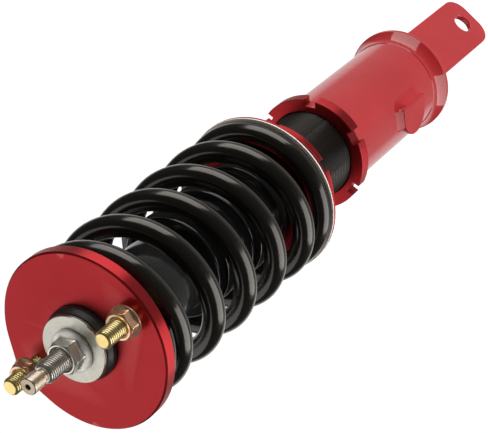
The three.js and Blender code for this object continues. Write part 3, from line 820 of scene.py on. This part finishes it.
def perch():
    outline = [
        (THREAD_BORE_R, PERCH_BOTTOM, 0.5),
        (PERCH_FOOT_R, PERCH_BOTTOM, 0.7),
        (PERCH_FOOT_R, PERCH_BOTTOM + 4.5, 0.8),
        (PERCH_RIM_R - 0.3, PERCH_SEAT - 1.6, 0.3),
        (PERCH_RIM_R, PERCH_SEAT - 1.2, 0.2),
        (PERCH_RIM_R, PERCH_SEAT, 0.3),
        (HUB_R, PERCH_SEAT, 0.6),
        (HUB_R, HUB_TOP - 3, 0.6),
        (HUB_R - 1.6, HUB_TOP, 0.6),
        (THREAD_BORE_R, HUB_TOP, 0.5),
    ]
    piece = turned("perch_body", outline, sides=128)
    cut(piece, spanner_notches(PERCH_FOOT_R, PERCH_BOTTOM - 1, PERCH_BOTTOM + 5, 7.0, 3.6))
    bevel(piece, 0.25)
    return finish_piece(piece, "perch_collar", ANODISED_TURNED, ["spring_perch"])


def slip_washer():
    bottom = PERCH_SEAT + GAP
    outline = [
        (HUB_R + 0.4, bottom, 0.2),
        (PERCH_RIM_R, bottom, 0.3),
        (PERCH_RIM_R, bottom + 1, 0.3),
        (HUB_R + 0.4, bottom + 1, 0.2),
    ]
    piece = turned("nylon_washer", outline, sides=128)
    return finish_piece(piece, "spring_seat", NYLON, ["slip_washer"])


def threaded_body():
    """The damper's outer tube: plain at the bottom, a fine thread above, plain inside."""
    sides = 96
    thread_bottom = 165.0
    outline = rounded(
        [
            (BODY_BORE_R, BODY_BOTTOM + 3),
            (BODY_BORE_R, BODY_BOTTOM, 0.4),
            (BODY_R - 0.2, BODY_BOTTOM, 0.6),
            (BODY_R - 0.2, thread_bottom - 2),
        ],
        closed=False,
    )
    loops = plain_loops(outline, sides)
    thread_top = BODY_TOP - 0.3
    loops += thread_loops(BODY_R, thread_bottom, thread_top, BODY_PITCH, 0.75, sides, rows=6, tip=1.2)
    loops += plain_loops([(BODY_R - 1.6, BODY_TOP), (BODY_BORE_R + 0.4, BODY_TOP)], sides)
    loops += plain_loops([(BODY_BORE_R, BODY_TOP - 0.4)], sides)
    piece = loft("threaded_body", loops, "joined", 60)
    return finish_piece(piece, "damper_cylinder", PHOSPHATED, ["damper_body"])


# ------------------------------------------------------------------ spring and boot


def spring():
    travel = SPRING_TOP - SPRING_BOTTOM - 2 * (WIRE_R - GROUND_DEPTH)
    turns = 2 * END_TURNS + (travel - 2 * END_PITCH * END_TURNS) / SPRING_PITCH
    softness = 0.12

    def bend(x):
        return softness * math.log(1 + math.exp(x / softness))

    def centre(turn):
        climb = bend(turn - END_TURNS) - bend(turn - (turns - END_TURNS))
        start = SPRING_BOTTOM + WIRE_R - GROUND_DEPTH
        height = start + END_PITCH * turn + (SPRING_PITCH - END_PITCH) * climb
        angle = math.radians(SPRING_TOP_ANGLE + 360 * (turn - turns))
        return Vector((SPRING_MEAN_R * math.cos(angle), SPRING_MEAN_R * math.sin(angle), height))

    loops = []
    steps = round(turns * 72)
    for step in range(steps + 1):
        turn = turns * step / steps
        here = centre(turn)
        along = (centre(turn + 1e-3) - centre(turn - 1e-3)).normalized()
        outward = Vector((here.x, here.y, 0)).normalized()
        outward = (outward - outward.dot(along) * along).normalized()
        upward = along.cross(outward)
        loop = []
        for angle in around(28):
            point = here + WIRE_R * (math.cos(angle) * outward - math.sin(angle) * upward)
            point.z = min(max(point.z, SPRING_BOTTOM), SPRING_TOP)
            loop.append(tuple(point))
        loops.append(loop)
    piece = loft("spring_wire", loops, "flat")
    return finish_piece(piece, "spring_seat", BLACK_COAT, ["coil_spring"])


def boot():
    """A smooth sleeve above, rounded pleats below, and a lip round the damper body."""
    pleat_bottom = BOOT_BOTTOM + 8
    pleat_height = (BOOT_SLEEVE_BOTTOM - pleat_bottom) / PLEATS
    outer = [
        (BOOT_GRIP_R, BOOT_BOTTOM, 0.4),
        (BOOT_LIP_R, BOOT_BOTTOM, 0.6),
        (BOOT_LIP_R, pleat_bottom - 2, 0.8),
        (BOOT_VALLEY_R, pleat_bottom, 0.8),
    ]
    for pleat in range(PLEATS):
        bottom = pleat_bottom + pleat * pleat_height
        valley_r = BOOT_SLEEVE_R if pleat == PLEATS - 1 else BOOT_VALLEY_R
        outer.append((BOOT_PLEAT_R, bottom + 0.5 * pleat_height, 1.6))
        outer.append((valley_r, bottom + pleat_height, 1.3))
    sleeve_bore_r = BOOT_SLEEVE_R - BOOT_WALL
    pleat_bore_r = BOOT_VALLEY_R - BOOT_WALL
    step_height = BODY_TOP + 2 * GAP
    outer += [(BOOT_SLEEVE_R, SPRING_TOP, 0.6), (sleeve_bore_r, SPRING_TOP, 0.6)]
    inner = [
        (sleeve_bore_r, BOOT_SLEEVE_BOTTOM, 1.0),
        (pleat_bore_r, BOOT_SLEEVE_BOTTOM - 4, 1.0),
        (pleat_bore_r, step_height, 0.5),
        (BOOT_GRIP_R, step_height, 0.5),
    ]
    piece = turned("rubber_boot", outer + inner, sides=128, steps=6)
    return finish_piece(piece, "damper_cylinder", BOOT_RUBBER, ["dust_boot"])


# ------------------------------------------------------------------ top mount

TOP_MOUNT = "rod_and_top_mount"


def plate_radii(sides):
    """The plate's outline: two slightly shifted discs and an ear round the rear stud."""
    discs = (
        (0.0, 0.0, PLATE_R),
        (1.5, 120.0, PLATE_R),
        (STUD_CIRCLE_R, REAR_STUD_ANGLE, 16.0),
    )
    directions = around(2880)
    support = np.full(len(directions), -1e9)
    for away, angle, radius in discs:
        support = np.maximum(support, away * np.cos(directions - math.radians(angle)) + radius)
    radii = []
    for angle in around(sides):
        facing = np.cos(directions - angle)
        radii.append((support[facing > 0.1] / facing[facing > 0.1]).min())
    return np.array(radii)


def stud_centre(angle):
    return (
        STUD_CIRCLE_R * math.cos(math.radians(angle)),
        STUD_CIRCLE_R * math.sin(math.radians(angle)),
    )


def disc_cutter(radius, bottom, top, centre=(0.0, 0.0)):
    loops = plain_loops([(radius, bottom), (radius, top)], 64, centre)
    return loft("cutter", loops, "flat")


def plate():
    sides = 192
    radii = plate_radii(sides)
    outline = rounded(
        [
            (3.0, PLATE_BOTTOM),
            (1.0, PLATE_BOTTOM, 0.3),
            (0.0, PLATE_BOTTOM + 1.0, 0.3),
            (0.0, PLATE_TOP - 0.9, 0.25),
            (0.9, PLATE_TOP, 0.25),
            (3.0, PLATE_TOP),
        ],
        closed=False,
    )
    loops = [ring_loop(radii - inset - 0.05, height, sides) for inset, height in outline]
    piece = loft("plate", loops, "flat")
    cutters = [
        disc_cutter(PLATE_BORE_R, PLATE_BOTTOM - 1, PLATE_TOP + 1),
        disc_cutter(BUSH_R + 0.4, PLATE_TOP - GAP, PLATE_TOP + 1),
    ]
    for angle in (FRONT_STUD_ANGLE, REAR_STUD_ANGLE):
        centre = stud_centre(angle)
        pocket_top = PLATE_BOTTOM + STUD_HEAD_HEIGHT + 2 * GAP
        cutters.append(disc_cutter(STUD_R + GAP, PLATE_BOTTOM - 1, PLATE_TOP + 1, centre))
        cutters.append(disc_cutter(STUD_HEAD_R + GAP, PLATE_BOTTOM - 1, pocket_top, centre))
    cut(piece, cutters)
    return finish_piece(piece, TOP_MOUNT, ANODISED_PLATE, ["top_plate"])


def bushes():
    """A rubber bush above the plate and one below it, whose hubs nearly meet in the plate's bore."""
    upper = [
        (BUSH_BORE_R, BUSH_SPLIT + GAP, 0.3),
        (BUSH_HUB_R, BUSH_SPLIT + GAP, 0.4),
        (BUSH_HUB_R, PLATE_TOP, 0.2),
        (BUSH_R, PLATE_TOP, 0.5),
        (BUSH_R, PLATE_TOP + 3.0, 1.8),
        (BUSH_R - 1.6, BUSH_TOP, 0.7),
        (BUSH_BORE_R, BUSH_TOP, 0.5),
    ]
    piece = turned("upper_bush_rubber", upper, sides=128, steps=6)
    finish_piece(piece, TOP_MOUNT, BUSH_RUBBER, ["upper_bush"])
    bottom = LOWER_WASHER_TOP + GAP
    lower = [
        (BUSH_BORE_R, bottom, 0.5),
        (19.4, bottom, 1.2),
        (20.0, bottom + 1.5, 1.2),
        (20.0, PLATE_BOTTOM - GAP, 0.8),
        (BUSH_HUB_R, PLATE_BOTTOM - GAP, 0.2),
        (BUSH_HUB_R, BUSH_SPLIT - GAP, 0.4),
        (BUSH_BORE_R, BUSH_SPLIT - GAP, 0.3),
    ]
    piece = turned("lower_bush_rubber", lower, sides=96)
    finish_piece(piece, TOP_MOUNT, BUSH_RUBBER, ["lower_bush"])


def washers():
    """The washers that the rod nut pulls together on the bushes."""
    upper = [
        (WASHER_BORE_R, WASHER_BOTTOM, 0.2),
        (WASHER_R, WASHER_BOTTOM, 0.6),
        (WASHER_R, WASHER_TOP, 0.7),
        (WASHER_BORE_R, WASHER_TOP, 0.2),
    ]
    piece = turned("bush_washer", upper, sides=128)
    finish_piece(piece, TOP_MOUNT, SHADED_WASHER_ZINC, ["clamp_washer"])
    lower = [
        (WASHER_BORE_R, LOWER_WASHER_BOTTOM, 0.2),
        (WASHER_R, LOWER_WASHER_BOTTOM, 0.5),
        (WASHER_R, LOWER_WASHER_TOP, 0.5),
        (WASHER_BORE_R, LOWER_WASHER_TOP, 0.2),
    ]
    piece = turned("lower_bush_washer", lower, sides=96)
    finish_piece(piece, TOP_MOUNT, BRIGHT_ZINC, ["lower_clamp_washer"])


def hexagon_radii(flats, sides, twist):
    """Distance to a hexagon's wall at each angle, with its corners a little rounded."""
    angles = around(sides) - math.radians(twist)
    total = np.zeros(sides)
    for side in range(6):
        total += np.maximum(0.0, np.cos(angles - side * TURN / 6)) ** 46
    return flats / 2 / total ** (1 / 46)


def flange_nut(name, node, sizes, bottom, twist, centre, material):
    """A hexagon nut with a flange that slopes up into it, standing on bottom.

    sizes are (across flats, flange radius, flange height, height, bore radius, mouth radius, recess).
    The mouth is the bore's wide end at the top, and goes straight down by the recess.
    """
    flats, flange_r, flange_height, height, bore_r, mouth_r, recess = sizes
    sides = 216
    hexagon = hexagon_radii(flats, sides, twist)
    corner_r = flats / math.sqrt(3)
    edge_height = 0.45 * flange_height
    loops = [ring_loop(bore_r, bottom + 0.6, sides, centre)]
    loops.append(ring_loop(bore_r + 0.6, bottom, sides, centre))
    for inset, above in ((0.3, 0.0), (0.09, 0.09), (0.0, 0.3)):
        loops.append(ring_loop(flange_r - inset, bottom + above, sides, centre))
    for share in (0.0, 0.15, 0.3, 0.5, 0.7, 0.85, 1.0):
        slope_r = flange_r - 0.15 * share - (flange_r - flats / 2) * share ** 1.1
        above = edge_height + (flange_height - edge_height) * share
        radii = np.maximum(hexagon, slope_r)
        loops.append(ring_loop(radii, bottom + above, sides, centre))
    chamfer = 1.4
    steps = 8
    for step in range(steps + 1):
        share = step / steps
        envelope = corner_r + 0.1 - (corner_r - flats / 2 + 0.4) * share
        radii = np.minimum(hexagon, envelope)
        loops.append(ring_loop(radii, bottom + height - chamfer * (1 - share), sides, centre))
    loops.append(ring_loop(mouth_r, bottom + height, sides, centre))
    if recess > 0:
        loops.append(ring_loop(mouth_r - 0.1, bottom + height - recess, sides, centre))
    loops.append(ring_loop(bore_r, bottom + height - recess - (mouth_r - bore_r), sides, centre))
    piece = loft(name, loops, "joined", 28)
    return finish_piece(piece, TOP_MOUNT, material, [node])


def nuts():
    rod_nut = (16.8, 12.2, 3.4, 10.1, 6.3, 7.5, 2.0)
    bottom = WASHER_TOP + GAP
    flange_nut(
        "rod_flange_nut", "top_nut", rod_nut, bottom, 11.2, (0.0, 0.0), BRIGHT_ZINC
    )
    stud_nut = (14.8, 9.1, 2.2, 7.2, 5.3, 6.1, 0.0)
    for name, node, angle, bottom, twist in (
        ("front_flange_nut", "stud_nut_front", FRONT_STUD_ANGLE, FRONT_NUT_BOTTOM, 16.6),
        ("rear_flange_nut", "stud_nut_rear", REAR_STUD_ANGLE, REAR_NUT_BOTTOM, 10.0),
    ):
        flange_nut(
            name, node, stud_nut, bottom, twist, stud_centre(angle), PINK_ZINC
        )


def studs():
    """Two studs, whose heads sit in pockets under the plate."""
    head_bottom = PLATE_BOTTOM + GAP
    head_top = head_bottom + STUD_HEAD_HEIGHT
    thread_bottom = PLATE_TOP - 2.8
    thread_top = STUD_TIP - 0.1
    for name, node, angle in (
        ("front_stud", "mount_stud_front", FRONT_STUD_ANGLE),
        ("rear_stud", "mount_stud_rear", REAR_STUD_ANGLE),
    ):
        centre = stud_centre(angle)
        sides = 48
        head = rounded(
            [
                (0.5, head_bottom),
                (STUD_HEAD_R, head_bottom, 0.4),
                (STUD_HEAD_R, head_top, 0.3),
                (STUD_R, head_top),
                (STUD_R, thread_bottom - 0.4),
            ],
            closed=False,
        )
        loops = plain_loops(head, sides, centre)
        loops += thread_loops(
            STUD_R, thread_bottom, thread_top, STUD_PITCH, 0.6, sides, centre, tip=1.3
        )
        loops += plain_loops([(3.4, STUD_TIP), (0.5, STUD_TIP)], sides, centre)
        piece = loft(name, loops, "flat", 60)
        finish_piece(piece, TOP_MOUNT, YELLOW_ZINC, [node])


def rod():
    """The damper rod: ground below its shoulder and threaded above it, with a bore."""
    sides = 64
    relief_r = ROD_THREAD_R - 0.7
    below = rounded(
        [
            (ROD_BORE_R, ROD_BOTTOM),
            (ROD_PISTON_R, ROD_BOTTOM, 0.4),
            (ROD_PISTON_R, PISTON_SEAT, 0.2),
            (ROD_R, PISTON_SEAT, 0.4),
            (ROD_R, ROD_SHOULDER, 0.8),
            (relief_r, ROD_SHOULDER, 0.2),
            (relief_r, ROD_SHOULDER + 2),
        ],
        closed=False,
    )
    loops = plain_loops(below, sides)
    thread_bottom = ROD_SHOULDER + 2.5
    thread_top = ROD_TOP - 0.4
    loops += thread_loops(
        ROD_THREAD_R, thread_bottom, thread_top, ROD_PITCH, 0.7, sides, rows=10, tip=1.5
    )
    loops += plain_loops([(4.0, ROD_TOP), (ROD_BORE_R, ROD_TOP)], sides)
    piece = loft("rod", loops, "joined", 60)
    return finish_piece(piece, TOP_MOUNT, ROD_STEEL, ["piston_rod"])


def adjuster():
    """The tip that sets the damping: a neck, a round head and a socket for a key."""
    bottom = ROD_TOP + GAP
    outline = [
        (0.4, bottom),
        (ADJUSTER_NECK_R, bottom, 0.2),
        (ADJUSTER_NECK_R, bottom + 2.0, 0.3),
        (ADJUSTER_HEAD_R, bottom + 2.7, 0.5),
        (ADJUSTER_HEAD_R, ADJUSTER_TOP, 1.1),
        (ADJUSTER_SOCKET_R + 0.3, ADJUSTER_TOP, 0.25),
        (ADJUSTER_SOCKET_R, ADJUSTER_TOP - 0.4, 0.2),
        (ADJUSTER_SOCKET_R, ADJUSTER_TOP - 4.6),
        (0.4, ADJUSTER_TOP - 5.0),
    ]
    piece = turned("adjuster_tip", outline, sides=64, ends="flat", steps=6)
    return finish_piece(piece, "adjuster", CHAMPAGNE, ["damping_adjuster"])


# ------------------------------------------------------------------ pieces that keep their CAD mesh

CAD_MATERIALS = {
    "bracket_end_plate": PAINT,
    "seal_head": ALUMINIUM,
    "rod_guide_bush": BRONZE,
    "rod_seal": BUSH_RUBBER,
    "rod_wiper": BUSH_RUBBER,
    "body_end_cap": ALUMINIUM,
    "gas_valve_screw": BRIGHT_ZINC,
    "floating_piston": ALUMINIUM,
    "floating_piston_seal": BUSH_RUBBER,
    "compression_shims": ROD_STEEL,
    "piston": ALUMINIUM,
    "piston_band": BRONZE,
    "rebound_shims": ROD_STEEL,
    "piston_nut": BRIGHT_ZINC,
    "bump_stop": FOAM,
    "control_rod": ROD_STEEL,
    "bush_spacer": ROD_STEEL,
}


def dress_cad_nodes():
    for name, material in CAD_MATERIALS.items():
        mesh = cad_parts[name].data
        mesh.materials.clear()
        mesh.materials.append(material)


# ------------------------------------------------------------------ floor, lights and camera

CAMERA_PLACE = Vector((-78.856, -656.633, 1055.614)) * MM
CAMERA_RIGHT = Vector((-0.69947, -0.50126, -0.50939))
CAMERA_UP = Vector((0.71090, -0.56111, -0.42401))
CAMERA_FORWARD = Vector((0.07329, 0.65871, -0.74882))
CAMERA_LENS = 128.36
FLOOR_HEIGHT = -1.4


def camera():
    data = bpy.data.cameras.new("camera")
    data.sensor_fit = "HORIZONTAL"
    data.sensor_width = 36.0
    data.lens = CAMERA_LENS
    data.clip_start = 0.05
    data.clip_end = 50.0
    data.dof.use_dof = False
    holder = bpy.data.objects.new("camera", data)
    axes = (CAMERA_RIGHT, CAMERA_UP, -CAMERA_FORWARD)
    matrix = Matrix([[axis[row] for axis in axes] for row in range(3)]).to_4x4()
    matrix.translation = CAMERA_PLACE
    holder.matrix_world = matrix
    bpy.context.scene.collection.objects.link(holder)
    bpy.context.scene.camera = holder


def studio_floor():
    """A pale plain floor, far enough below the strut to stay an even background."""
    half = 9000.0 * MM
    corners = [(-half, -half, 0.0), (half, -half, 0.0), (half, half, 0.0), (-half, half, 0.0)]
    mesh = bpy.data.meshes.new("floor")
    mesh.from_pydata(corners, [], [(0, 1, 2, 3)])
    floor = bpy.data.objects.new("floor", mesh)
    floor.location = (0.0, 0.0, FLOOR_HEIGHT)
    floor.visible_glossy = False
    bpy.context.scene.collection.objects.link(floor)
    s = Shader("pale floor")
    s.set(base_color=s.mix(s.noise(3.0), (0.86, 0.86, 0.86), (0.9, 0.9, 0.9)))
    s.set(roughness=0.9, emission_color=(1.0, 1.0, 1.0), emission_strength=0.8)
    floor.data.materials.append(s.material)


OBJECT_MIDDLE = Vector((-2.4, 0.0, 300.0)) * MM
WARM_WHITE = (1.0, 0.965, 0.92)

# The bright parts of the surroundings: the cosines of the angle from their middle at which they begin
# and are at full strength, and that strength. FRONT_STRENGTH is what is left elsewhere.
BEHIND = (0.6, 0.82, 1.0)
BELOW = (0.45, 0.75, 0.42)
FRONT_STRENGTH = 0.06


def softbox(name, azimuth, elevation, away, wide, high, radiance):
    """An area light round the strut's middle, wide and high being angles as seen from there."""
    around_z = math.radians(azimuth)
    above = math.radians(elevation)
    towards = Vector(
        (
            math.cos(above) * math.cos(around_z),
            math.cos(above) * math.sin(around_z),
            math.sin(above),
        )
    )
    data = bpy.data.lights.new(name, "AREA")
    data.shape = "RECTANGLE"
    data.size = 2 * away * math.tan(math.radians(wide / 2))
    data.size_y = 2 * away * math.tan(math.radians(high / 2))
    data.energy = radiance * math.pi * data.size * data.size_y
    data.color = WARM_WHITE
    light = bpy.data.objects.new(name, data)
    light.rotation_mode = "QUATERNION"
    light.rotation_quaternion = towards.to_track_quat("Z", "Y")
    light.location = OBJECT_MIDDLE + away * towards
    light.visible_camera = False
    bpy.context.scene.collection.objects.link(light)


def surroundings():
    """White for the camera and behind the strut, a dim floor below it, and nearly dark in front."""
    world = bpy.data.worlds.new("studio")
    bpy.context.scene.world = world
    world.use_nodes = True
    tree = world.node_tree
    tree.nodes.clear()
    output = tree.nodes.new("ShaderNodeOutputWorld")
    background = tree.nodes.new("ShaderNodeBackground")
    tree.links.new(background.outputs["Background"], output.inputs["Surface"])
    place = tree.nodes.new("ShaderNodeTexCoord")
    brightness = tree.nodes.new("ShaderNodeLightPath").outputs["Is Camera Ray"]
    for direction, low, high, strength in (
        (CAMERA_FORWARD, *BEHIND),
        (Vector((0.0, 0.0, -1.0)), *BELOW),
    ):
        towards = tree.nodes.new("ShaderNodeVectorMath")
        towards.operation = "DOT_PRODUCT"
        towards.inputs[1].default_value = direction
        tree.links.new(place.outputs["Generated"], towards.inputs[0])
        spread = tree.nodes.new("ShaderNodeMapRange")
        spread.interpolation_type = "SMOOTHSTEP"
        spread.inputs["From Min"].default_value = low
        spread.inputs["From Max"].default_value = high
        spread.inputs["To Min"].default_value = FRONT_STRENGTH
        spread.inputs["To Max"].default_value = strength
        tree.links.new(towards.outputs["Value"], spread.inputs["Value"])
        brighter = tree.nodes.new("ShaderNodeMath")
        brighter.operation = "MAXIMUM"
        tree.links.new(brightness, brighter.inputs[0])
        tree.links.new(spread.outputs["Result"], brighter.inputs[1])
        brightness = brighter.outputs["Value"]
    tree.links.new(brightness, background.inputs["Strength"])


def lights():
    surroundings()
    studio_floor()
    softbox("right box", -45.0, -12.0, away=2.5, wide=50.0, high=50.0, radiance=3.2)
    softbox("left box", -163.0, -12.0, away=2.5, wide=54.0, high=50.0, radiance=3.2)
    softbox("top box", 84.0, 48.6, away=2.0, wide=70.0, high=70.0, radiance=1.0)
    bpy.context.scene.view_settings.view_transform = "Standard"


blade()
bracket_shell()
hose_tab()
tab_weld()
blade_welds()
lock_ring()
perch()
slip_washer()
threaded_body()
spring_piece = spring()
boot_piece = boot()
plate()
bushes()
washers()
nuts()
studs()
rod()
adjuster()
dress_cad_nodes()
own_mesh(spring_piece)
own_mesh(boot_piece)
camera()
lights()
